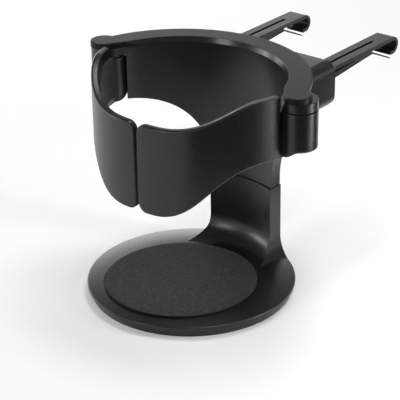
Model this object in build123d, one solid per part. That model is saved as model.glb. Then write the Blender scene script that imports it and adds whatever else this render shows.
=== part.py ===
from build123d import *
import math
import os

# Cup holder that hooks on an air vent. Millimetres, +Z up, cup axis on Z, vent towards +Y.
# The underside of the tray is at Z = 0.

# Tray and pad
tray_radius = 43.9
tray_setback = 6.6
tray_thickness = 5.9
tray_foot_radius = 42.4
tray_crown_radius = 27.0
tray_rim_drop = 1.3
tray_lip_height = 3.3
tray_lip_step = 0.4
tray_lip_round = 0.4
pad_radius = 32.0
pad_thickness = 1.5
pad_recess = 1.0
pad_edge_round = 0.3
pad_clearance = 0.5

# Post and its seam with the ring frame
post_half_width = 16.2
post_front_radius = 43.2
post_thickness = 7.6
post_seam_height = 36.4
post_side_flare = 8.5
post_front_flare = 10.5
flare_sink = 0.12
stub_inset = 0.35
tongue_depth = 10.0
tongue_thickness = 2.6
tongue_half_width = 12.0
tongue_front_wall = 1.7
tongue_clearance = 0.15

# Ring frame
ring_height = 97.7
cover_thickness = 2.5
cover_outer_radius = 53.5
cover_top_round = 0.5
cover_bevel_width = 1.0
cover_bevel_height = 2.2
cover_tangent_deg = 31.0
cover_end_x = 50.0
cover_end_y = 12.2
cover_end_radius = 5.6
deck_thickness = 2.8
deck_inset = 0.7
deck_tangent_deg = 25.0
wall_setback = 0.7
wall_thickness = 3.5
wall_drop = 25.3
wall_reach = 42.0
wall_end_deg = 21.2
wall_hinge_gap = 0.5
stub_shoulder_height = 39.4
stub_rise = 15.0
sweep_lead = 8.8
sweep_drop = 5.0

# Rear block that carries the clips
block_half_width = 30.6
block_drop = 7.9
block_height = 19.9
block_rear = 66.0
block_corner = 5.0
block_wall = 2.0
rear_cover_thickness = 2.2
rear_cover_inset = 0.2
rear_boss_radius = 3.2
rear_screw_x = 9.0

# Hinges and arms
hinge_x = 49.6
hinge_y = 14.4
knuckle_radius = 7.2
boss_radius = 5.6
boss_height = 0.45
knuckle_drop = 0.95
barrel_drop = 22.9
barrel_bottom_round = 1.2
barrel_top_round = 0.4
barrel_gap = 0.12
barrel_lobe = 0.8
barrel_lobe_deg = 141.0
arm_heel_offset = 2.6
arm_centre_setback = 3.5
arm_outer_radius = 44.0
arm_thickness = 3.0
arm_face_deg = -50.0
arm_heel_top_drop = 0.5
arm_heel_bottom_drop = 26.5
arm_front_top_drop = 11.9
arm_front_bottom_drop = 49.7
arm_top_turn = 19.0
arm_top_heel_pull = 11.0
arm_top_front_pull = 18.0
arm_top_front = 20.0
arm_bottom_turn = 22.0
arm_bottom_heel_pull = 23.0
arm_bottom_front_pull = 19.0
arm_bottom_front = 24.0
arm_heel_reach = 30.0
arm_corner = 4.0
arm_edge_round = 0.8
arm_seam_gap = 1.0
arm_heel_gap = 0.35
arm_groove_radius = 0.8
arm_pad_top_inset = 5.0
arm_pad_bottom_inset = 3.0
arm_pad_thickness = 1.8
arm_pad_recess = 0.8
arm_pad_clearance = 0.1
arm_pad_corner = 1.3
arm_pad_heel = 25.0
arm_pad_front = 26.5

# Hinge hardware
pin_radius = 1.5
pin_clearance = 0.06
chamber_radius = 4.8
chamber_drop = 18.1
bearing_drop = 21.1
washer_radius = 3.2
washer_thickness = 0.6
wire_radius = 0.45
spring_radius = 3.2
spring_turns = 6
spring_leg = 1.6
spring_leg_radius = 0.4
counterbore_radius = 3.7

# Screws
screw_radius = 1.1
screw_head_radius = 2.2
screw_head_height = 1.3
screw_clearance = 0.06
hinge_screw_length = 5.0
rear_screw_length = 8.0
post_screw_x = 8.0

# Vent clips
clip_x = 23.6
clip_width = 9.0
clip_drop = 11.6
clip_wall = 1.5
clip_end = 113.7
clip_curl_radius = 3.85
clip_lip = 2.0
clip_slot_width = 1.6
clip_slot_depth = 0.9
clip_slot_setback = 9.7
clip_taper_setback = 16.7
clip_web_inset = 1.3
clip_flange_root_depth = 4.9
clip_flange_root_thickness = 1.7
clip_flange_tip_depth = 2.0
clip_head_side = 2.0
clip_head_rise = 1.0
clip_head_length = 3.0
clip_window_clearance = 0.25
leaf_width = 8.0
leaf_thickness = 0.6
leaf_gap = 0.5
leaf_kink_setback = 15.2
leaf_tip_setback = 1.7
leaf_tip_drop = 6.4
leaf_bend_radius = 1.2
leaf_clearance = 0.05

# Derived levels and places
cover_bottom = ring_height - cover_thickness
wall_bottom = ring_height - wall_drop
block_top = ring_height - block_drop
block_bottom = block_top - block_height
barrel_bottom = ring_height - barrel_drop
arm_heel_top = ring_height - arm_heel_top_drop
arm_heel_bottom = ring_height - arm_heel_bottom_drop
arm_front_top = ring_height - arm_front_top_drop
arm_front_bottom = ring_height - arm_front_bottom_drop
chamber_floor = ring_height - chamber_drop
bearing_bottom = ring_height - bearing_drop
clip_top = ring_height - clip_drop
deck_bottom = cover_bottom - deck_thickness
knuckle_bottom = deck_bottom - knuckle_drop
boss_bottom = knuckle_bottom - boss_height
barrel_top = boss_bottom - barrel_gap
cover_inner_radius = post_front_radius
wall_inner_radius = post_front_radius + wall_setback
wall_outer_radius = wall_inner_radius + wall_thickness
post_rear_radius = post_front_radius + post_thickness - tray_setback
arm_inner_radius = arm_outer_radius - arm_thickness
arm_centre_x = hinge_x - arm_outer_radius - arm_heel_offset
arm_centre_y = hinge_y + arm_centre_setback
hinge_front = hinge_y - knuckle_radius
cover_seat = block_rear - rear_cover_thickness
clip_root = cover_seat - clip_head_length
clip_slot_end = clip_end - clip_slot_setback
clip_taper_end = clip_end - clip_taper_setback
leaf_kink = clip_end - leaf_kink_setback
leaf_tip = clip_end - leaf_tip_setback
clip_bottom = clip_top - clip_flange_root_depth - leaf_gap - leaf_thickness
rear_screw_level = (block_top + block_bottom) / 2
post_screw_level = post_seam_height - tongue_depth / 2

# Reach of cutting tools, past every face
far = 200.0
past = 1.0


def rod(radius, bottom, top, x=0.0, y=0.0):
    """Upright cylinder between two levels."""
    blank = Cylinder(radius, top - bottom, align=(Align.CENTER, Align.CENTER, Align.MIN))
    return Pos(x, y, bottom) * blank


def block(x0, x1, y0, y1, z0, z1):
    """Box between opposite corners."""
    return Pos((x0 + x1) / 2, (y0 + y1) / 2, (z0 + z1) / 2) * Box(x1 - x0, y1 - y0, z1 - z0)


def rod_y(radius, front, rear, x, z):
    """Cylinder along Y between two places."""
    blank = Cylinder(radius, rear - front, align=(Align.CENTER, Align.CENTER, Align.MIN))
    return Pos(x, front, z) * Rot(-90, 0, 0) * blank


def mirrored(shape):
    """The same piece on the other side of the cup."""
    return mirror(shape, about=Plane.YZ)


def base_tray():
    """Round tray with the lower post standing on its rear edge."""
    rim = (tray_radius, tray_thickness - tray_rim_drop)
    crown = (tray_crown_radius, tray_thickness)
    dome = Bezier(crown, ((tray_crown_radius + tray_radius) / 2, tray_thickness), rim)
    wall = Polyline(
        rim,
        (tray_radius, tray_lip_height),
        (tray_radius - tray_lip_step, tray_lip_height),
        (tray_foot_radius, 0),
        (0, 0),
        (0, tray_thickness),
        crown,
    )
    disc = revolve(Plane.XZ * make_face([dome, wall]), Axis.Z)
    lip_edges = disc.edges().filter_by(GeomType.CIRCLE).group_by(SortBy.RADIUS)[-1]
    disc = fillet(lip_edges.sort_by(Axis.Z)[-1], tray_lip_round)
    tray = Pos(0, tray_setback, 0) * disc + lower_post()
    tray -= rod(pad_radius + pad_clearance, tray_thickness - pad_recess, tray_thickness + pad_thickness)
    tray -= tongue(tongue_clearance)
    for x in (-post_screw_x, post_screw_x):
        tray -= post_screw_hole(x)
    return tray


def lower_post():
    """Curved post that flares into the tray at the front and at both sides."""
    bend_level = tray_thickness - flare_sink + post_front_flare
    bend_start = post_front_radius - post_front_flare
    lean = math.sqrt(0.5)
    front = Line((post_front_radius, post_seam_height), (post_front_radius, bend_level))
    bend = ThreePointArc(
        (post_front_radius, bend_level),
        (bend_start + post_front_flare * lean, bend_level - post_front_flare * lean),
        (bend_start, bend_level - post_front_flare),
    )
    rest = Polyline(
        (bend_start, bend_level - post_front_flare),
        (bend_start, tray_lip_height),
        (far, tray_lip_height),
        (far, post_seam_height),
        (post_front_radius, post_seam_height),
    )
    hollowed = revolve(Plane.XZ * make_face([front, bend, rest]), Axis.Z)
    side_level = tray_thickness - tray_rim_drop - flare_sink + post_side_flare
    foot_width = post_half_width + post_side_flare
    outline = [
        Line((0, post_seam_height), (post_half_width, post_seam_height)),
        Line((post_half_width, post_seam_height), (post_half_width, side_level)),
        ThreePointArc(
            (post_half_width, side_level),
            (foot_width - post_side_flare * lean, side_level - post_side_flare * lean),
            (foot_width, side_level - post_side_flare),
        ),
        Polyline(
            (foot_width, side_level - post_side_flare),
            (foot_width, tray_lip_height),
            (0, tray_lip_height),
            (0, post_seam_height),
        ),
    ]
    half = extrude(Plane.XZ * make_face(outline), -far)
    slab = half + mirrored(half)
    rim_cut = tray_lip_round * (1 - lean)
    rear = Polyline(
        (0, tray_lip_height),
        (tray_radius - rim_cut, tray_lip_height),
        (tray_radius - rim_cut, tray_thickness - tray_rim_drop - rim_cut),
        (post_rear_radius, side_level),
        (post_rear_radius, post_seam_height),
        (0, post_seam_height),
        close=True,
    )
    return hollowed & slab & Pos(0, tray_setback, 0) * revolve(Plane.XZ * make_face(rear), Axis.Z)


def tongue(clearance):
    """Tab of the ring frame that plugs into the top of the post."""
    front = post_front_radius + tongue_front_wall
    rear = front + tongue_thickness + clearance
    front -= clearance
    bottom = post_seam_height - tongue_depth - clearance
    top = post_seam_height + past
    half_width = tongue_half_width + clearance
    curved = rod(rear, bottom, top) - rod(front, bottom, top)
    return curved & block(-half_width, half_width, 0, far, bottom, top)


def post_head_seat(x):
    """Y of the flat that a post screw's head bears on."""
    return tray_setback + math.sqrt(post_rear_radius**2 - (x + screw_head_radius) ** 2) - screw_head_height


def post_screw_tip(x):
    """Y of the front face of the tongue, where a post screw ends."""
    return math.sqrt((post_front_radius + tongue_front_wall) ** 2 - x**2)


def post_screw_hole(x):
    """Stepped hole through the back of the post."""
    seat = post_head_seat(abs(x))
    head = rod_y(screw_head_radius + screw_clearance, seat, far, x, post_screw_level)
    return head + rod_y(screw_radius + screw_clearance, post_screw_tip(x), seat + past, x, post_screw_level)


def post_screw(x):
    """Screw that holds the tongue in the post."""
    seat = post_head_seat(abs(x))
    head = rod_y(screw_head_radius, seat, seat + screw_head_height, x, post_screw_level)
    return head + rod_y(screw_radius, post_screw_tip(x), seat, x, post_screw_level)


def base_pad():
    """Grained disc that lies in the tray."""
    floor = tray_thickness - pad_recess
    pad = rod(pad_radius, floor, floor + pad_thickness)
    return fillet(pad.edges().filter_by(GeomType.CIRCLE).sort_by(Axis.Z)[-1], pad_edge_round)


def flange_outline(inset, turn_deg, x, y, radius):
    """Plan of the ring's flange: a C that leaves the round at a tangent and ends in a circle."""
    inner = cover_inner_radius + inset
    outer = cover_outer_radius - inset
    turn = math.radians(turn_deg)
    start = Vector(inner * math.cos(turn), inner * math.sin(turn))
    end = Vector(x, y)
    reach = (end - start).length
    lean = math.atan2(y - start.Y, x - start.X) - math.asin(radius / reach)
    run = math.sqrt(reach**2 - radius**2)
    touch = start + Vector(math.cos(lean), math.sin(lean)) * run
    behind = make_face(Polyline((0, 0), end * far, (far, far), (0, far), close=True))
    hollow = make_face(Polyline((0, 0), end, touch, start, close=True))
    half = ((Circle(outer) - Circle(inner)) & behind) - hollow
    half += Pos(x, y) * Circle(radius)
    return half + mirror(half, about=Plane.YZ)


def ring_cover():
    """Flat cover on top of the ring frame."""
    plan = flange_outline(0, cover_tangent_deg, cover_end_x, cover_end_y, cover_end_radius)
    cover = extrude(Pos(0, 0, cover_bottom) * plan, cover_thickness)
    cover = fillet(cover.faces().sort_by(Axis.Z)[-1].edges(), cover_top_round)
    low = ring_height - cover_bevel_height
    bevel = Cone(
        cover_inner_radius,
        cover_inner_radius + cover_bevel_width,
        cover_bevel_height,
        align=(Align.CENTER, Align.CENTER, Align.MIN),
    )
    return cover - Pos(0, 0, low) * bevel


def frame_front_view():
    """Front view of the wall and the stub, with the sweep that joins them."""
    lead = (post_half_width - stub_inset + sweep_lead, wall_bottom - sweep_drop)
    edge = post_half_width - stub_inset
    outline = [
        Line((0, post_seam_height), (edge, post_seam_height)),
        Line((edge, post_seam_height), (edge, stub_shoulder_height)),
        Bezier(
            (edge, stub_shoulder_height),
            (edge, stub_shoulder_height + stub_rise),
            lead,
            (wall_reach, wall_bottom),
        ),
        Polyline((wall_reach, wall_bottom), (far, wall_bottom), (far, deck_bottom), (0, deck_bottom)),
        Line((0, deck_bottom), (0, post_seam_height)),
    ]
    half = extrude(Plane.XZ * make_face(outline), -far)
    return half + mirrored(half)


def block_outline(inset):
    """Rear view of the block that carries the clips."""
    height = block_top - block_bottom - 2 * inset
    shape = RectangleRounded(2 * (block_half_width - inset), height, block_corner - inset)
    return Plane.XZ * Pos(0, (block_top + block_bottom) / 2) * shape


def ring_frame():
    """Wall, deck with knuckles, stub of the post and hollow rear block, moulded as one."""
    view = frame_front_view()
    wall = rod(wall_outer_radius, post_seam_height, deck_bottom)
    wall += rod(post_rear_radius - stub_inset, post_seam_height, deck_bottom, 0, tray_setback)
    end = math.tan(math.radians(wall_end_deg))
    corners = ((0, 0), (far, far * end), (far, far), (-far, far), (-far, far * end))
    wall = (wall & view) & extrude(make_face(Polyline(*corners, close=True)), far)
    shell = extrude(block_outline(0), -cover_seat) - extrude(block_outline(block_wall), -far)
    frame = wall + shell
    for side in (-1, 1):
        x = side * clip_x
        frame += block(x - clip_width / 2, x + clip_width / 2, 0, clip_root, clip_bottom, clip_top)
        frame += rod_y(rear_boss_radius, 0, cover_seat, side * rear_screw_x, rear_screw_level)
    frame -= rod(wall_inner_radius, post_seam_height - past, ring_height)
    relief = knuckle_radius + barrel_lobe + wall_hinge_gap
    for side in (-1, 1):
        frame -= rod(relief, post_seam_height, ring_height, side * hinge_x, hinge_y)
    for side in (-1, 1):
        x = side * rear_screw_x
        tip = block_rear - rear_screw_length
        frame -= rod_y(screw_radius + screw_clearance, tip, cover_seat, x, rear_screw_level)
    plan = flange_outline(deck_inset, deck_tangent_deg, hinge_x, hinge_y, knuckle_radius)
    frame += extrude(Pos(0, 0, deck_bottom) * plan, deck_thickness)
    for side in (-1, 1):
        x = side * hinge_x
        frame += rod(knuckle_radius, knuckle_bottom, deck_bottom, x, hinge_y)
        frame += rod(boss_radius, boss_bottom, knuckle_bottom, x, hinge_y)
        frame -= rod(pin_radius, boss_bottom, cover_bottom, x, hinge_y)
        frame -= spring_hole(side, boss_bottom, boss_bottom + spring_leg)
    frame += tongue(0)
    for x in (-post_screw_x, post_screw_x):
        frame -= rod_y(screw_radius + screw_clearance, post_screw_tip(x), far, x, post_screw_level)
    return frame


def spring_hole(side, bottom, top):
    """Hole for one leg of a torsion spring."""
    return rod(spring_leg_radius + screw_clearance, bottom, top, side * (hinge_x + spring_radius), hinge_y)


def rear_cover():
    """Plate that closes the rear block and lets the clips through."""
    plate = extrude(block_outline(rear_cover_inset), -block_rear)
    plate &= block(-far, far, cover_seat, block_rear, 0, far)
    for side in (-1, 1):
        half = clip_width / 2 + clip_window_clearance
        low = clip_bottom - clip_window_clearance
        x = side * clip_x
        plate -= block(x - half, x + half, 0, far, low, clip_top + clip_window_clearance)
        x = side * rear_screw_x
        head_seat = block_rear - screw_head_height
        plate -= rod_y(screw_head_radius + screw_clearance, head_seat, far, x, rear_screw_level)
        plate -= rod_y(screw_radius + screw_clearance, 0, far, x, rear_screw_level)
    return plate


def rear_screw(side):
    """Screw that holds the rear cover on the block."""
    head_seat = block_rear - screw_head_height
    x = side * rear_screw_x
    head = rod_y(screw_head_radius, head_seat, block_rear, x, rear_screw_level)
    tip = block_rear - rear_screw_length
    return head + rod_y(screw_radius, tip, head_seat, x, rear_screw_level)


def arm_view(top_inset, bottom_inset, heel_end, front_end):
    """Side view of an arm, seen square to the middle of its curve."""
    heel_top = arm_heel_top - top_inset
    heel_bottom = arm_heel_bottom + bottom_inset
    front_top = arm_front_top - top_inset
    front_bottom = arm_front_bottom + bottom_inset
    top_heel = (arm_top_turn, heel_top)
    top_front = (-arm_top_front, front_top)
    bottom_front = (-arm_bottom_front, front_bottom)
    bottom_heel = (arm_bottom_turn, heel_bottom)
    outline = [
        Line((heel_end, heel_top), top_heel),
        Bezier(
            top_heel,
            (arm_top_turn - arm_top_heel_pull, heel_top),
            (arm_top_front_pull - arm_top_front, front_top),
            top_front,
        ),
        Polyline(top_front, (front_end, front_top), (front_end, front_bottom), bottom_front),
        Bezier(
            bottom_front,
            (arm_bottom_front_pull - arm_bottom_front, front_bottom),
            (arm_bottom_turn - arm_bottom_heel_pull, heel_bottom),
            bottom_heel,
        ),
        Polyline(bottom_heel, (heel_end, heel_bottom), (heel_end, heel_top)),
    ]
    return make_face(outline)


def arm_slab(view):
    """Slab square to the middle of the arm's curve, with the given side view."""
    turn = math.radians(arm_face_deg)
    facing = Plane(
        origin=(arm_centre_x, arm_centre_y, 0),
        x_dir=(-math.sin(turn), math.cos(turn), 0),
        z_dir=(math.cos(turn), math.sin(turn), 0),
    )
    return extrude(facing * view, far)


def arm_shell(inner, outer, view):
    """Slice of an upright tube, cut to the arm's side view."""
    tube = rod(outer, 0, far, arm_centre_x, arm_centre_y)
    tube -= rod(inner, 0, far, arm_centre_x, arm_centre_y)
    return tube & arm_slab(view)


def hinge_barrel():
    """Barrel at the heel of the right arm, whose foot drops to the arm's lower edge."""
    turn = math.radians(arm_face_deg)
    axis_along = (arm_centre_x - hinge_x) * math.sin(turn) + (hinge_y - arm_centre_y) * math.cos(turn)
    start = axis_along - knuckle_radius
    half = knuckle_radius / 2
    outline = [
        Line((-far, arm_heel_bottom), (start, arm_heel_bottom)),
        Bezier(
            (start, arm_heel_bottom),
            (start + half, arm_heel_bottom),
            (axis_along - half, barrel_bottom),
            (axis_along, barrel_bottom),
        ),
        Polyline(
            (axis_along, barrel_bottom),
            (far, barrel_bottom),
            (far, barrel_top),
            (-far, barrel_top),
            (-far, arm_heel_bottom),
        ),
    ]
    plan = Pos(barrel_lobe / 2, 0) * SlotCenterToCenter(barrel_lobe, 2 * knuckle_radius)
    plan = Pos(hinge_x, hinge_y) * Rot(0, 0, barrel_lobe_deg) * plan
    barrel = extrude(plan, far) & arm_slab(make_face(outline))
    barrel = fillet(barrel.faces().sort_by(Axis.Z)[-1].edges(), barrel_top_round)
    foot = [edge for edge in barrel.edges() if edge.bounding_box().max.Z < barrel_bottom + past]
    return fillet(foot, barrel_bottom_round)


def groove_place():
    """Where the arm's outer face meets the barrel."""
    dx = hinge_x - arm_centre_x
    dy = hinge_y - arm_centre_y
    span = math.hypot(dx, dy)
    along = (span**2 + arm_outer_radius**2 - knuckle_radius**2) / (2 * span)
    across = math.sqrt(arm_outer_radius**2 - along**2)
    return (
        arm_centre_x + (along * dx + across * dy) / span,
        arm_centre_y + (along * dy - across * dx) / span,
    )


def arm_pad_view(grow):
    """Side view of the liner, widened by grow all round."""
    front = -arm_pad_front - grow
    view = arm_view(arm_pad_top_inset - grow, arm_pad_bottom_inset - grow, arm_pad_heel + grow, front)
    return fillet(view.vertices().group_by(Axis.X)[0], arm_pad_corner)


def right_arm():
    """Front arm with the hinge barrel at its heel."""
    arm = arm_shell(arm_inner_radius, arm_outer_radius, arm_view(0, 0, arm_heel_reach, -arm_outer_radius))
    arm -= block(-far, arm_seam_gap / 2, -far, far, 0, far)
    arm -= block(-far, far, hinge_front - arm_heel_gap, far, barrel_top, far)
    ends = arm.edges().group_by(Axis.X)[0].sort_by(Axis.Z)
    arm = fillet([ends[0], ends[-1]], arm_corner)
    skins = arm.faces().filter_by(GeomType.CYLINDER).sort_by(SortBy.AREA)[-2:]
    heel = hinge_x - 2 * knuckle_radius
    rims = [edge for skin in skins for edge in skin.edges() if edge.center().X < heel]
    arm = fillet(rims, arm_edge_round)
    arm += hinge_barrel()
    x, y = groove_place()
    arm -= rod(arm_groove_radius, 0, far, x, y)
    recess = arm_inner_radius + arm_pad_recess
    arm -= arm_shell(arm_inner_radius - past, recess, arm_pad_view(arm_pad_clearance))
    arm -= rod(chamber_radius, chamber_floor, far, hinge_x, hinge_y)
    arm -= rod(pin_radius + pin_clearance, 0, far, hinge_x, hinge_y)
    arm -= rod(counterbore_radius, 0, bearing_bottom, hinge_x, hinge_y)
    arm -= spring_hole(1, chamber_floor - spring_leg, chamber_floor)
    return arm


def right_arm_pad():
    """Soft liner on the inner face of the arm."""
    outer = arm_inner_radius + arm_pad_recess
    return arm_shell(outer - arm_pad_thickness, outer, arm_pad_view(0))


def hinge_pin(side):
    """Pin pressed into the knuckle, with a tapped lower end."""
    x = side * hinge_x
    pin = rod(pin_radius, bearing_bottom, cover_bottom, x, hinge_y)
    return pin - rod(screw_radius, bearing_bottom, bearing_bottom + hinge_screw_length, x, hinge_y)


def hinge_washer(side):
    """Washer under the barrel."""
    x = side * hinge_x
    top = bearing_bottom - pin_clearance
    washer = rod(washer_radius, top - washer_thickness, top, x, hinge_y)
    return washer - rod(screw_radius + screw_clearance, 0, far, x, hinge_y)


def hinge_screw(side):
    """Screw in the tapped end of the pin."""
    x = side * hinge_x
    under = bearing_bottom - pin_clearance - washer_thickness
    head = rod(screw_head_radius, under - screw_head_height, under, x, hinge_y)
    return head + rod(screw_radius, under, bearing_bottom + hinge_screw_length, x, hinge_y)


def torsion_spring(side):
    """Coil round the pin with one leg in the arm and one in the knuckle."""
    bottom = chamber_floor + wire_radius
    top = boss_bottom - wire_radius
    coil_height = top - bottom
    path = Helix(coil_height / spring_turns, coil_height, spring_radius)
    section = Plane(origin=path @ 0, z_dir=path % 0) * Circle(wire_radius)
    coil = sweep(section, path)
    coil = Pos(side * hinge_x, hinge_y, bottom) * (coil if side > 0 else mirrored(coil))
    x = side * (hinge_x + spring_radius)
    half = wire_radius / 2
    coil += rod(spring_leg_radius, chamber_floor - spring_leg, bottom + half, x, hinge_y)
    return coil + rod(spring_leg_radius, top - half, boss_bottom + spring_leg, x, hinge_y)


def right_clip_hook():
    """Slotted strip with a tapered keel, curled down at its far end."""
    root = clip_root
    low = clip_top - 2 * clip_curl_radius
    middle = clip_top - clip_curl_radius
    under = clip_top - clip_wall
    curl = [
        Line((root, clip_top), (clip_end, clip_top)),
        ThreePointArc((clip_end, clip_top), (clip_end + clip_curl_radius, middle), (clip_end, low)),
        Polyline((clip_end, low), (clip_end - clip_lip, low), (clip_end - clip_lip, low + clip_wall)),
        Line((clip_end - clip_lip, low + clip_wall), (clip_end, low + clip_wall)),
        ThreePointArc(
            (clip_end, low + clip_wall),
            (clip_end + clip_curl_radius - clip_wall, middle),
            (clip_end, under),
        ),
        Polyline((clip_end, under), (root, under), (root, clip_top)),
    ]
    flange_low = clip_top - clip_flange_root_depth
    tip_low = clip_top - clip_flange_tip_depth
    web = Polyline(
        (root, under),
        (clip_taper_end, under),
        (clip_taper_end, tip_low),
        (root, flange_low),
        close=True,
    )
    flange = Polyline(
        (root, flange_low + clip_flange_root_thickness),
        (clip_taper_end, clip_top - clip_wall / 2),
        (clip_taper_end, tip_low),
        (root, flange_low),
        close=True,
    )
    hook = extrude(Plane.YZ * make_face(curl), clip_width / 2, both=True)
    hook += extrude(Plane.YZ * make_face(web), clip_width / 2 - clip_web_inset, both=True)
    hook += extrude(Plane.YZ * make_face(flange), clip_width / 2, both=True)
    half = clip_slot_width / 2
    hook -= block(-half, half, block_rear, clip_slot_end, clip_top - clip_slot_depth, far)
    half = clip_width / 2
    low = clip_bottom - clip_head_rise
    high = clip_top + clip_head_rise
    inner = -half - clip_head_side
    head = block(inner, half - block_corner / 2, root, root + clip_head_length, low, high)
    hook += head - leaf_blank(leaf_width, leaf_clearance)
    return Pos(clip_x, 0, 0) * hook


def leaf_blank(width, grow):
    """Bent strip under the hook, thickened by grow on each face."""
    root_top = clip_top - clip_flange_root_depth - leaf_gap
    kink_top = clip_top - clip_flange_tip_depth - leaf_gap
    tip_top = kink_top - leaf_tip_drop
    top = [(clip_root, root_top + grow), (leaf_kink, kink_top + grow), (leaf_tip, tip_top + grow)]
    bottom = [(y, z - leaf_thickness - 2 * grow) for y, z in reversed(top)]
    strip = make_face(Polyline(*top, *bottom, close=True))
    strip = fillet(strip.vertices().group_by(Axis.X)[1], leaf_bend_radius)
    return extrude(Plane.YZ * strip, width / 2 + grow, both=True)


def clip_leaf(side):
    """Spring leaf that presses a vent blade up against the hook."""
    return Pos(side * clip_x, 0, 0) * leaf_blank(leaf_width, 0)


nodes = {
    "base_tray": base_tray(),
    "base_pad": base_pad(),
    "post_screws": Compound(children=[post_screw(-post_screw_x), post_screw(post_screw_x)]),
    "ring_frame": ring_frame(),
    "ring_cover": ring_cover(),
    "rear_cover": rear_cover(),
    "rear_screws": Compound(children=[rear_screw(-1), rear_screw(1)]),
    "hinge_washers": Compound(children=[hinge_washer(-1), hinge_washer(1)]),
    "hinge_screws": Compound(children=[hinge_screw(-1), hinge_screw(1)]),
}
for name, piece in (("arm", right_arm()), ("arm_pad", right_arm_pad()), ("clip_hook", right_clip_hook())):
    nodes["right_" + name] = piece
    nodes["left_" + name] = mirrored(piece)
for name, side in (("left", -1), ("right", 1)):
    nodes[name + "_hinge_pin"] = hinge_pin(side)
    nodes[name + "_torsion_spring"] = torsion_spring(side)
    nodes[name + "_clip_leaf"] = clip_leaf(side)

os.makedirs("parts", exist_ok=True)
for name, shape in nodes.items():
    export_step(shape, "parts/" + name + ".step")
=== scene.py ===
import math

import bmesh
import bpy
from mathutils import Matrix, Vector


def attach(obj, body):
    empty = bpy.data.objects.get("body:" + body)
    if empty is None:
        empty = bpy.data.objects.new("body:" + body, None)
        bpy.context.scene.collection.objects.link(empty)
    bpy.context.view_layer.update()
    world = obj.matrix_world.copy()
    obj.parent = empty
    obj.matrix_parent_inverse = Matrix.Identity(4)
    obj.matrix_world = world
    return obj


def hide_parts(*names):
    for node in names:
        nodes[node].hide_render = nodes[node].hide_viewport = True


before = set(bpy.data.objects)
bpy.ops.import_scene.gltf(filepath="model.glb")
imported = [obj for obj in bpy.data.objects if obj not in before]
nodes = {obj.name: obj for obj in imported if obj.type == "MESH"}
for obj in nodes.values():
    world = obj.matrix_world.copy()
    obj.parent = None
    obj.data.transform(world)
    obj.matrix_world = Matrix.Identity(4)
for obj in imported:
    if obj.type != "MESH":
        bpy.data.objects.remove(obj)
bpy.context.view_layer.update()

MM = 0.001
SMOOTH_DEG = 40
QUARTER_TURN = math.pi / 2

# Pad in the tray, in millimetres, as in the part's source
PAD_RADIUS = 32.0
PAD_BOTTOM = 4.9
PAD_TOP = 6.4
PAD_CHAMFER = 0.2
PAD_ROUND = 0.25
PAD_CROWN = 0.08
PAD_CROWN_POWER = 4
PAD_SIDES = 128
PAD_RIM_STEPS = 8
PAD_CROWN_STEPS = 12
# Faces of the pad that look up or down less than this are its side, which is given painted shade.
PAD_SHADE_SLOPE = 0.6

# Liners of the arms, in millimetres, as in the part's source
ARM_CENTRE = (3.0, 17.9)
ARM_FACE_DEG = -50.0
LINER_BACK_RADIUS = 41.8
LINER_THICKNESS = 1.8
LINER_HEEL = 25.0
LINER_FRONT = -26.5
LINER_CORNER = 1.3
LINER_ROUND = 0.9
LINER_SIDE = 0.8
LINER_STEPS = 48
LINER_LOW = ((-24.0, 51.0), (-5.0, 51.0), (-1.0, 74.2), (22.0, 74.2))
LINER_HIGH = ((-20.0, 80.8), (-2.0, 80.8), (8.0, 92.2), (19.0, 92.2))
HALVINGS = 40

# Screws, in millimetres
SCREW_RADIUS = 1.1
SCREW_TIP = 0.66
SCREW_SIDES = 40
HEAD_RADIUS = 2.2
HEAD_HEIGHT = 1.3
HEAD_FLAT = 1.2
HEAD_SIDE = 0.4
HEAD_STEPS = 6
CROSS_LENGTH = 2.3
CROSS_WIDTH = 0.55
CROSS_DEPTH = 0.7
# Pairs of screws: node, place of the right one, way the heads face, length of the shank
SCREWS = (
    ("rear_screws", (9, 64.7, 79.85), (0, 1, 0), 6.7),
    ("post_screws", (8, 48.3, 31.4), (0, 1, 0), 4.1),
    ("hinge_screws", (49.6, 14.4, 75.94), (0, 0, -1), 5.6),
)

# Upward part of the normal of the cover's bevel faces
BEVEL_RISE = (0.2, 0.6)

# Finishes, in millimetres, and the part of a noise's range that is used
ABS_BLACK = ("#131314", "#171718")
ABS_GRAIN_MM = 0.4
CLOUD_MM = 9.0
EDGE_SOFT_MM = 0.35
EDGE_SAMPLES = 4
FOAM_CELL_MM = 0.9
FOAM_DEPTH_MM = 0.12
NOISE_ENDS = (0.3, 0.7)

# Camera at the photograph's place: lens and turns come from the round tray and ring in it.
CAMERA_PLACE = (0.3814, -0.4489, 0.3298)
CAMERA_TURNS = ((39.54, "Z"), (64.0, "X"), (-0.92, "Z"))
CAMERA_LENS = 144.0
CAMERA_SENSOR = 36.0

# Studio, in metres: the sweep fades to its overhead brightness between two rises
SWEEP_RISE = (0.12, 0.36)
SWEEP_TOP = 0.25
WORLD_LIGHT = 0.2
WHITE = (1, 1, 1, 1)
FLOOR_LIFT = 0.2
FLOOR_HALF = 4.0
FLOOR_DROP = 0.0002
CARD_LIFT = 0.001
CARD_STEPS = 16
# Black cards: name, inner and outer radius, angles from +X
CARDS = (
    ("front", (0.15, 0.8), (-72, 4)),
    ("right", (0.12, 0.6), (30, 62)),
)
# Soft boxes: name, (angle from +X, distance, height), aim, (width, height), watts
SOFTBOXES = (
    ("key_front", (-104, 0.75, 0.36), (0, 0, 0.06), (0.2, 0.26), 1.1),
    ("key_left", (-152, 0.65, 0.18), (0, 0, 0.06), (0.26, 0.14), 0.8),
    ("back_left", (152, 0.8, 0.17), (0, 0, 0.02), (1.1, 0.26), 2.7),
    ("top_soft", (90, 0.3, 0.9), (0, 0, 0.05), (0.4, 0.4), 4.0),
    ("strip_right", (23, 0.3, 0.1), (0.04, 0.01, 0.07), (0.03, 0.2), 0.5),
)


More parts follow.
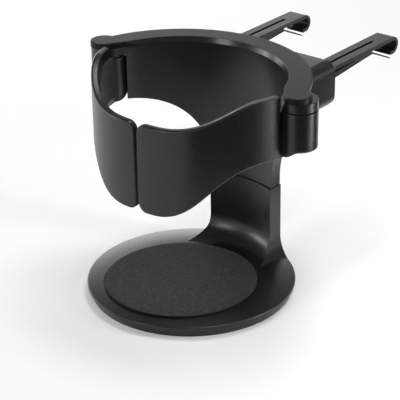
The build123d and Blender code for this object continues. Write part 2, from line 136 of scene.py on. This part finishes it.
def srgb(colour):
    """Linear RGBA of an sRGB hex colour."""
    values = []
    for start in (1, 3, 5):
        value = int(colour[start:start + 2], 16) / 255
        values.append(value / 12.92 if value <= 0.04045 else ((value + 0.055) / 1.055) ** 2.4)
    return (*values, 1.0)


def add_node(tree, kind, inputs, stops=(), **settings):
    """Adds a node. inputs gives each socket a value or another node's output, stops a ramp's colours."""
    node = tree.nodes.new(kind)
    for name, value in settings.items():
        setattr(node, name, value)
    for i, (position, colour) in enumerate(stops):
        node.color_ramp.elements[i].position = position
        node.color_ramp.elements[i].color = srgb(colour)
    for name, value in inputs.items():
        if isinstance(value, bpy.types.NodeSocket):
            tree.links.new(value, node.inputs[name])
        else:
            node.inputs[name].default_value = value
    return node


def new_material(name):
    """An empty node material and its tree."""
    material = bpy.data.materials.new(name)
    material.use_nodes = True
    material.node_tree.nodes.clear()
    return material, material.node_tree


def moulded_plastic(name, colours, grain_mm, depth_mm, roughness, specular):
    """Moulded plastic with a spark-eroded grain, slight cloudiness and softened edges."""
    material, tree = new_material(name)
    place = add_node(tree, "ShaderNodeTexCoord", {}).outputs["Object"]
    cloud = add_node(
        tree, "ShaderNodeTexNoise", {"Vector": place, "Scale": 1 / (CLOUD_MM * MM), "Detail": 2.0}
    )
    grain = add_node(
        tree, "ShaderNodeTexNoise", {"Vector": place, "Scale": 1 / (grain_mm * MM), "Detail": 3.0}
    )
    tint = add_node(
        tree, "ShaderNodeValToRGB", {"Fac": cloud.outputs["Fac"]}, stops=zip(NOISE_ENDS, colours)
    )
    gloss = add_node(
        tree,
        "ShaderNodeMapRange",
        {
            "Value": grain.outputs["Fac"],
            "From Min": NOISE_ENDS[0],
            "From Max": NOISE_ENDS[1],
            "To Min": roughness[0],
            "To Max": roughness[1],
        },
    )
    edge = add_node(tree, "ShaderNodeBevel", {"Radius": EDGE_SOFT_MM * MM}, samples=EDGE_SAMPLES)
    bump = add_node(
        tree,
        "ShaderNodeBump",
        {
            "Height": grain.outputs["Fac"],
            "Distance": depth_mm * MM,
            "Strength": 1.0,
            "Normal": edge.outputs["Normal"],
        },
    )
    shader = add_node(
        tree,
        "ShaderNodeBsdfPrincipled",
        {
            "Base Color": tint.outputs["Color"],
            "Roughness": gloss.outputs["Result"],
            "IOR": 1.5,
            "Specular IOR Level": specular,
            "Normal": bump.outputs["Normal"],
        },
    )
    add_node(tree, "ShaderNodeOutputMaterial", {"Surface": shader.outputs["BSDF"]})
    return material


def grained_foam(name, colours):
    """Closed-cell foam with a pebbled skin: matt, mottled, with a faint sheen."""
    material, tree = new_material(name)
    place = add_node(tree, "ShaderNodeTexCoord", {}).outputs["Object"]
    per_cell = 1 / (FOAM_CELL_MM * MM)
    cells = add_node(
        tree, "ShaderNodeTexVoronoi", {"Vector": place, "Scale": per_cell}, feature="SMOOTH_F1"
    )
    fine = add_node(
        tree, "ShaderNodeTexNoise", {"Vector": place, "Scale": 2 * per_cell, "Detail": 4.0}
    )
    mottle = add_node(
        tree,
        "ShaderNodeMath",
        {0: cells.outputs["Distance"], 1: fine.outputs["Fac"]},
        operation="MULTIPLY",
    )
    spread = add_node(
        tree, "ShaderNodeMath", {0: mottle.outputs["Value"], 1: 0.6, 2: 0.3}, operation="MULTIPLY_ADD"
    )
    tint = add_node(
        tree, "ShaderNodeValToRGB", {"Fac": spread.outputs["Value"]}, stops=zip(NOISE_ENDS, colours)
    )
    bump = add_node(
        tree,
        "ShaderNodeBump",
        {"Height": mottle.outputs["Value"], "Distance": FOAM_DEPTH_MM * MM, "Strength": 1.0},
    )
    shader = add_node(
        tree,
        "ShaderNodeBsdfPrincipled",
        {
            "Base Color": tint.outputs["Color"],
            "Roughness": 0.85,
            "Specular IOR Level": 0.2,
            "Sheen Weight": 0.08,
            "Sheen Roughness": 0.5,
            "Normal": bump.outputs["Normal"],
        },
    )
    add_node(tree, "ShaderNodeOutputMaterial", {"Surface": shader.outputs["BSDF"]})
    return material


def bare_metal(name, colours, scratch_mm, roughness):
    """Bare metal with fine drawn or ground streaks."""
    material, tree = new_material(name)
    place = add_node(tree, "ShaderNodeTexCoord", {}).outputs["Object"]
    streaks = add_node(
        tree, "ShaderNodeTexNoise", {"Vector": place, "Scale": 1 / (scratch_mm * MM), "Detail": 3.0}
    )
    tint = add_node(
        tree, "ShaderNodeValToRGB", {"Fac": streaks.outputs["Fac"]}, stops=zip(NOISE_ENDS, colours)
    )
    gloss = add_node(
        tree,
        "ShaderNodeMapRange",
        {"Value": streaks.outputs["Fac"], "To Min": roughness[0], "To Max": roughness[1]},
    )
    shader = add_node(
        tree,
        "ShaderNodeBsdfPrincipled",
        {
            "Base Color": tint.outputs["Color"],
            "Metallic": 1.0,
            "Roughness": gloss.outputs["Result"],
        },
    )
    add_node(tree, "ShaderNodeOutputMaterial", {"Surface": shader.outputs["BSDF"]})
    return material


# ABS, injection moulded in a spark-eroded tool: near black, satin, the grain itself too fine to see.
abs_moulded = moulded_plastic(
    "ABS_moulded_satin_black", ABS_BLACK, ABS_GRAIN_MM, 0.004, (0.26, 0.34), 0.5
)
# The same ABS from a coarser eroded cavity: the flat cover on top is more matt and mirrors the backdrop less.
abs_matt = moulded_plastic("ABS_moulded_matt_black", ABS_BLACK, ABS_GRAIN_MM, 0.008, (0.38, 0.46), 0.15)
# The cover's bevel comes from a polished land of the tool: it mirrors a soft box as a light band.
abs_polished = moulded_plastic(
    "ABS_moulded_polished_black", ABS_BLACK, ABS_GRAIN_MM, 0.001, (0.2, 0.26), 0.5
)
# Glass-filled nylon, moulded: a little greyer than the ABS, with fibre cloudiness.
nylon_moulded = moulded_plastic(
    "Nylon_glass_filled_moulded", ("#202021", "#28282a"), 0.5, 0.006, (0.3, 0.42), 0.3
)
# EVA foam pad with a pebbled skin. The real pebbles are about 0.4 mm, drawn at 0.9 mm so that they show.
eva_pad = grained_foam("EVA_foam_pebbled_pad", ("#101011", "#3c3c3d"))
# The pad's side gets painted shade: a darker copy of the foam, so that the rim reads as a dark line.
painted_shade_foam = grained_foam("EVA_foam_side_painted_shade", ("#0c0c0c", "#161616"))
# The same foam as a thinner liner, with a stronger mottle.
eva_liner = grained_foam("EVA_foam_pebbled_liner", ("#131314", "#4a4a4b"))
# Zinc-plated steel: pale grey, lightly clouded by the plating bath.
zinc_steel = bare_metal("Steel_zinc_plated", ("#a7a8a6", "#c2c2bf"), 0.3, (0.28, 0.42))
# Steel pin, ground: bright, with fine streaks.
ground_steel = bare_metal("Steel_ground", ("#b4b4b4", "#c9c9c9"), 0.15, (0.18, 0.3))
# Spring wire, drawn: greyer than the pin, with the finest streaks.
spring_wire = bare_metal("Spring_steel_drawn_wire", ("#8a8986", "#a3a29e"), 0.12, (0.25, 0.38))
# Spring strip blackened by an oxide bath: dark, with a dull metal gloss.
blackened_strip = bare_metal("Spring_steel_blackened_strip", ("#1e1e1f", "#2c2c2d"), 0.2, (0.35, 0.5))

CAD_FINISHES = {
    abs_moulded: ("base_tray", "ring_frame", "rear_cover", "left_arm", "right_arm"),
    abs_matt: ("ring_cover",),
    nylon_moulded: ("left_clip_hook", "right_clip_hook"),
    blackened_strip: ("left_clip_leaf", "right_clip_leaf"),
    ground_steel: ("left_hinge_pin", "right_hinge_pin"),
    spring_wire: ("left_torsion_spring", "right_torsion_spring"),
    zinc_steel: ("hinge_washers",),
}
for finish, names in CAD_FINISHES.items():
    for name in names:
        mesh = nodes[name].data
        mesh.materials.clear()
        mesh.materials.append(finish)

# Faces of the cover that look in at the axis and a little up are its bevel.
cover_mesh = nodes["ring_cover"].data
cover_mesh.materials.append(abs_polished)
for face in cover_mesh.polygons:
    inward = face.normal.x * face.center.x + face.normal.y * face.center.y < 0
    face.material_index = int(inward and BEVEL_RISE[0] < face.normal.z < BEVEL_RISE[1])


def add_object(name, bm, material):
    """Object in the scene from a bmesh in metres."""
    mesh = bpy.data.meshes.new(name)
    bm.to_mesh(mesh)
    bm.free()
    mesh.materials.append(material)
    item = bpy.data.objects.new(name, mesh)
    bpy.context.scene.collection.objects.link(item)
    return item


def new_piece(name, bm, material):
    """Smooth-shaded object from a bmesh in millimetres."""
    bmesh.ops.scale(bm, vec=(MM, MM, MM), verts=bm.verts)
    bmesh.ops.recalc_face_normals(bm, faces=bm.faces)
    piece = add_object(name, bm, material)
    piece.data.shade_smooth()
    piece.data.set_sharp_from_angle(angle=math.radians(SMOOTH_DEG))
    return piece


def lathe(bm, profile, sides):
    """Turns (radius, level) points about Z and gives back the last ring of corners."""
    turns = [2 * math.pi * i / sides for i in range(sides)]
    rings = []
    for radius, level in profile:
        if radius == 0:
            rings.append([bm.verts.new((0, 0, level))])
        else:
            ring = [(radius * math.cos(t), radius * math.sin(t), level) for t in turns]
            rings.append([bm.verts.new(corner) for corner in ring])
    for lower, upper in zip(rings, rings[1:]):
        for i in range(sides):
            j = (i + 1) % sides
            corners = [lower[k % len(lower)] for k in (i, j)] + [upper[k % len(upper)] for k in (j, i)]
            bm.faces.new(list(dict.fromkeys(corners)))
    return rings[-1]


def base_pad():
    """Foam disc with a rounded rim and a slight crown."""
    profile = [(0, PAD_BOTTOM), (PAD_RADIUS - PAD_CHAMFER, PAD_BOTTOM)]
    profile.append((PAD_RADIUS, PAD_BOTTOM + PAD_CHAMFER))
    rim_level = PAD_TOP - PAD_CROWN
    for i in range(PAD_RIM_STEPS + 1):
        turn = QUARTER_TURN * i / PAD_RIM_STEPS
        radius = PAD_RADIUS - PAD_ROUND * (1 - math.cos(turn))
        profile.append((radius, rim_level - PAD_ROUND * (1 - math.sin(turn))))
    flat = PAD_RADIUS - PAD_ROUND
    for i in range(1, PAD_CROWN_STEPS + 1):
        share = i / PAD_CROWN_STEPS
        profile.append((flat * (1 - share), rim_level + PAD_CROWN * (1 - (1 - share) ** PAD_CROWN_POWER)))
    bm = bmesh.new()
    lathe(bm, profile, PAD_SIDES)
    pad = new_piece("base_pad_foam", bm, eva_pad)
    # The pad's side wall takes the darker foam copy, as painted shade.
    pad.data.materials.append(painted_shade_foam)
    for face in pad.data.polygons:
        face.material_index = int(abs(face.normal.z) < PAD_SHADE_SLOPE)
    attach(pad, "holder")
    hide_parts("base_pad")


def edge_level(curve, along):
    """Level of a liner's edge, a cubic curve of four (along, level) points, at a place along the arm."""
    if along <= curve[0][0]:
        return curve[0][1]
    if along >= curve[3][0]:
        return curve[3][1]
    low, high = 0.0, 1.0
    for _ in range(HALVINGS):
        t = (low + high) / 2
        weights = ((1 - t) ** 3, 3 * t * (1 - t) ** 2, 3 * t * t * (1 - t), t**3)
        if sum(w * point[0] for w, point in zip(weights, curve)) < along:
            low = t
        else:
            high = t
    return sum(w * point[1] for w, point in zip(weights, curve))


def liner_levels(along):
    """Lowest and highest level of the liner at a place along the arm."""
    low = edge_level(LINER_LOW, along)
    high = edge_level(LINER_HIGH, along)
    near = LINER_CORNER - (along - LINER_FRONT)
    if near > 0:
        trim = LINER_CORNER - math.sqrt(LINER_CORNER**2 - near**2)
        low += trim
        high -= trim
    return low, high


def eased(count):
    """Shares from 0 to 1, closer together at both ends."""
    return [(1 - math.cos(math.pi * i / count)) / 2 for i in range(count + 1)]


def arm_liner(side):
    """Foam liner on an arm's inner face, with a rolled edge."""
    turn = math.radians(ARM_FACE_DEG)
    grid = []
    for share in eased(LINER_STEPS):
        along = LINER_FRONT + (LINER_HEEL - LINER_FRONT) * share
        low, high = liner_levels(along)
        row = []
        for rise in eased(LINER_STEPS):
            level = low + (high - low) * rise
            edge = min(along - LINER_FRONT, LINER_HEEL - along, level - low, high - level)
            roll = min(max(edge, 0.0) / LINER_ROUND, 1.0)
            thick = LINER_SIDE + (LINER_THICKNESS - LINER_SIDE) * math.sqrt(1 - (1 - roll) ** 2)
            face = []
            for radius in (LINER_BACK_RADIUS, LINER_BACK_RADIUS - thick):
                out = math.sqrt(radius**2 - along**2)
                x = ARM_CENTRE[0] + out * math.cos(turn) - along * math.sin(turn)
                y = ARM_CENTRE[1] + out * math.sin(turn) + along * math.cos(turn)
                face.append((side * x, y, level))
            row.append(face)
        grid.append(row)
    bm = bmesh.new()
    skins = []
    for layer in (0, 1):
        skins.append([[bm.verts.new(face[layer]) for face in row] for row in grid])
    steps = range(LINER_STEPS)
    for skin in skins:
        for i in steps:
            for j in steps:
                bm.faces.new((skin[i][j], skin[i + 1][j], skin[i + 1][j + 1], skin[i][j + 1]))
    back, front = skins
    for i in steps:
        for k in (0, LINER_STEPS):
            bm.faces.new((back[i][k], back[i + 1][k], front[i + 1][k], front[i][k]))
            bm.faces.new((back[k][i], back[k][i + 1], front[k][i + 1], front[k][i]))
    name = "right_arm" if side > 0 else "left_arm"
    liner = new_piece(name + "_liner_foam", bm, eva_liner)
    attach(liner, name + "_body")
    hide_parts(name + "_pad")


def cross_recess(bm, rim):
    """Closes the flat top of a screw head, inside its rim, round a cross-shaped hole."""
    long = CROSS_LENGTH / 2
    wide = CROSS_WIDTH / 2
    plan = []
    for quarter in range(4):
        for x, y in ((long, -wide), (long, wide), (wide, wide)):
            plan.append(((x, y), (-y, x), (-x, -y), (y, -x))[quarter])
    top = [bm.verts.new((x, y, HEAD_HEIGHT)) for x, y in plan]
    low = [bm.verts.new((x, y, HEAD_HEIGHT - CROSS_DEPTH)) for x, y in plan]
    for i in range(len(plan)):
        bm.faces.new((top[i - 1], top[i], low[i], low[i - 1]))
    bm.faces.new(low)
    edges = []
    for loop in (rim, top):
        for i in range(len(loop)):
            edges.append(bm.edges.get((loop[i - 1], loop[i])))
    bmesh.ops.triangle_fill(bm, edges=edges, use_beauty=True)


def cross_head_screws(node, place, facing, shank):
    """A left and a right pan-head screw with a cross recess, in one piece."""
    profile = [(0, -shank), (SCREW_TIP, -shank), (SCREW_RADIUS, SCREW_RADIUS - shank)]
    profile += [(SCREW_RADIUS, 0), (HEAD_RADIUS, 0)]
    for i in range(HEAD_STEPS + 1):
        t = QUARTER_TURN * i / HEAD_STEPS
        radius = HEAD_FLAT + (HEAD_RADIUS - HEAD_FLAT) * math.cos(t)
        profile.append((radius, HEAD_SIDE + (HEAD_HEIGHT - HEAD_SIDE) * math.sin(t)))
    turn = Vector((0, 0, 1)).rotation_difference(Vector(facing)).to_matrix().to_4x4()
    bm = bmesh.new()
    for side in (-1, 1):
        start = len(bm.verts)
        cross_recess(bm, lathe(bm, profile, SCREW_SIDES))
        bm.verts.ensure_lookup_table()
        seat = Matrix.Translation((side * place[0], place[1], place[2]))
        bmesh.ops.transform(bm, matrix=seat @ turn, verts=bm.verts[start:])
    screws = new_piece(node + "_cross_head", bm, zinc_steel)
    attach(screws, "holder")
    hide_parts(node)


def photo_camera():
    """Camera that frames the part as the photograph does."""
    data = bpy.data.cameras.new("photo_camera")
    data.sensor_width = CAMERA_SENSOR
    data.lens = CAMERA_LENS
    camera = bpy.data.objects.new("photo_camera", data)
    bpy.context.scene.collection.objects.link(camera)
    place = Matrix.Translation(CAMERA_PLACE)
    for degrees, axis in CAMERA_TURNS:
        place = place @ Matrix.Rotation(math.radians(degrees), 4, axis)
    camera.matrix_world = place
    bpy.context.scene.camera = camera


def seen_background(tree):
    """1 for rays that show the background: camera, glossy and transmission rays."""
    path = add_node(tree, "ShaderNodeLightPath", {})
    gloss = add_node(
        tree,
        "ShaderNodeMath",
        {0: path.outputs["Is Camera Ray"], 1: path.outputs["Is Glossy Ray"]},
        operation="MAXIMUM",
    )
    both = add_node(
        tree,
        "ShaderNodeMath",
        {0: gloss.outputs["Value"], 1: path.outputs["Is Transmission Ray"]},
        operation="MAXIMUM",
    )
    return both.outputs["Value"]


def white_floor():
    """Pale floor that shows white where it is lit and keeps the shadow."""
    material, tree = new_material("Studio_floor_paper")
    paper = add_node(tree, "ShaderNodeBsdfDiffuse", {"Color": srgb("#f2f2f2")})
    lift = add_node(
        tree, "ShaderNodeMath", {0: seen_background(tree), 1: FLOOR_LIFT}, operation="MULTIPLY"
    )
    glow = add_node(tree, "ShaderNodeEmission", {"Color": WHITE, "Strength": lift.outputs["Value"]})
    both = add_node(tree, "ShaderNodeAddShader", {0: paper.outputs["BSDF"], 1: glow.outputs["Emission"]})
    add_node(tree, "ShaderNodeOutputMaterial", {"Surface": both.outputs["Shader"]})
    bm = bmesh.new()
    bmesh.ops.create_grid(bm, x_segments=1, y_segments=1, size=FLOOR_HALF)
    floor = add_object("studio_floor", bm, material)
    floor.location.z = -FLOOR_DROP


def around(azimuth_deg, distance, height):
    """Place at a compass angle from +X, a distance from the cup's axis and a height."""
    turn = math.radians(azimuth_deg)
    return (distance * math.cos(turn), distance * math.sin(turn), height)


def dark_card(name, radii, turns_deg):
    """Black card on the floor. Only reflections show it, so that the faces over it stay dark."""
    material, tree = new_material("Studio_black_card_" + name)
    black = add_node(tree, "ShaderNodeBsdfDiffuse", {"Color": srgb("#101010")})
    add_node(tree, "ShaderNodeOutputMaterial", {"Surface": black.outputs["BSDF"]})
    first, last = turns_deg
    turns = [first + (last - first) * i / CARD_STEPS for i in range(CARD_STEPS + 1)]
    bm = bmesh.new()
    inner, outer = [[bm.verts.new(around(t, radius, CARD_LIFT)) for t in turns] for radius in radii]
    for i in range(CARD_STEPS):
        bm.faces.new((inner[i], outer[i], outer[i + 1], inner[i + 1]))
    card = add_object("black_card_" + name, bm, material)
    card.visible_camera = False
    card.visible_shadow = False
    card.visible_diffuse = False


def studio_world():
    """Sweep that is white near the floor and greyer overhead, and a dim light."""
    world = bpy.data.worlds.new("studio_world")
    bpy.context.scene.world = world
    world.use_nodes = True
    tree = world.node_tree
    tree.nodes.clear()
    way = add_node(tree, "ShaderNodeTexCoord", {}).outputs["Generated"]
    rise = add_node(tree, "ShaderNodeSeparateXYZ", {"Vector": way}).outputs["Z"]
    sweep = add_node(
        tree,
        "ShaderNodeMapRange",
        {
            "Value": rise,
            "From Min": SWEEP_RISE[0],
            "From Max": SWEEP_RISE[1],
            "To Min": 1.0,
            "To Max": SWEEP_TOP,
        },
        interpolation_type="SMOOTHSTEP",
    )
    dim = add_node(tree, "ShaderNodeBackground", {"Color": WHITE, "Strength": WORLD_LIGHT})
    white = add_node(tree, "ShaderNodeBackground", {"Color": WHITE, "Strength": sweep.outputs["Result"]})
    mix = add_node(
        tree,
        "ShaderNodeMixShader",
        {0: seen_background(tree), 1: dim.outputs["Background"], 2: white.outputs["Background"]},
    )
    add_node(tree, "ShaderNodeOutputWorld", {"Surface": mix.outputs["Shader"]})


def softbox(name, place, target, size, power):
    """Soft area light turned to a point."""
    data = bpy.data.lights.new(name, "AREA")
    data.shape = "RECTANGLE"
    data.size, data.size_y = size
    data.energy = power
    light = bpy.data.objects.new(name, data)
    bpy.context.scene.collection.objects.link(light)
    light.location = place
    light.rotation_mode = "QUATERNION"
    light.rotation_quaternion = (Vector(target) - Vector(place)).to_track_quat("-Z", "Y")
    light.visible_camera = False


base_pad()
for side in (-1, 1):
    arm_liner(side)
for row in SCREWS:
    cross_head_screws(*row)

photo_camera()
white_floor()
studio_world()
for row in CARDS:
    dark_card(*row)
for name, place, target, size, power in SOFTBOXES:
    softbox(name, around(*place), target, size, power)

bpy.context.scene.view_settings.view_transform = "Standard"
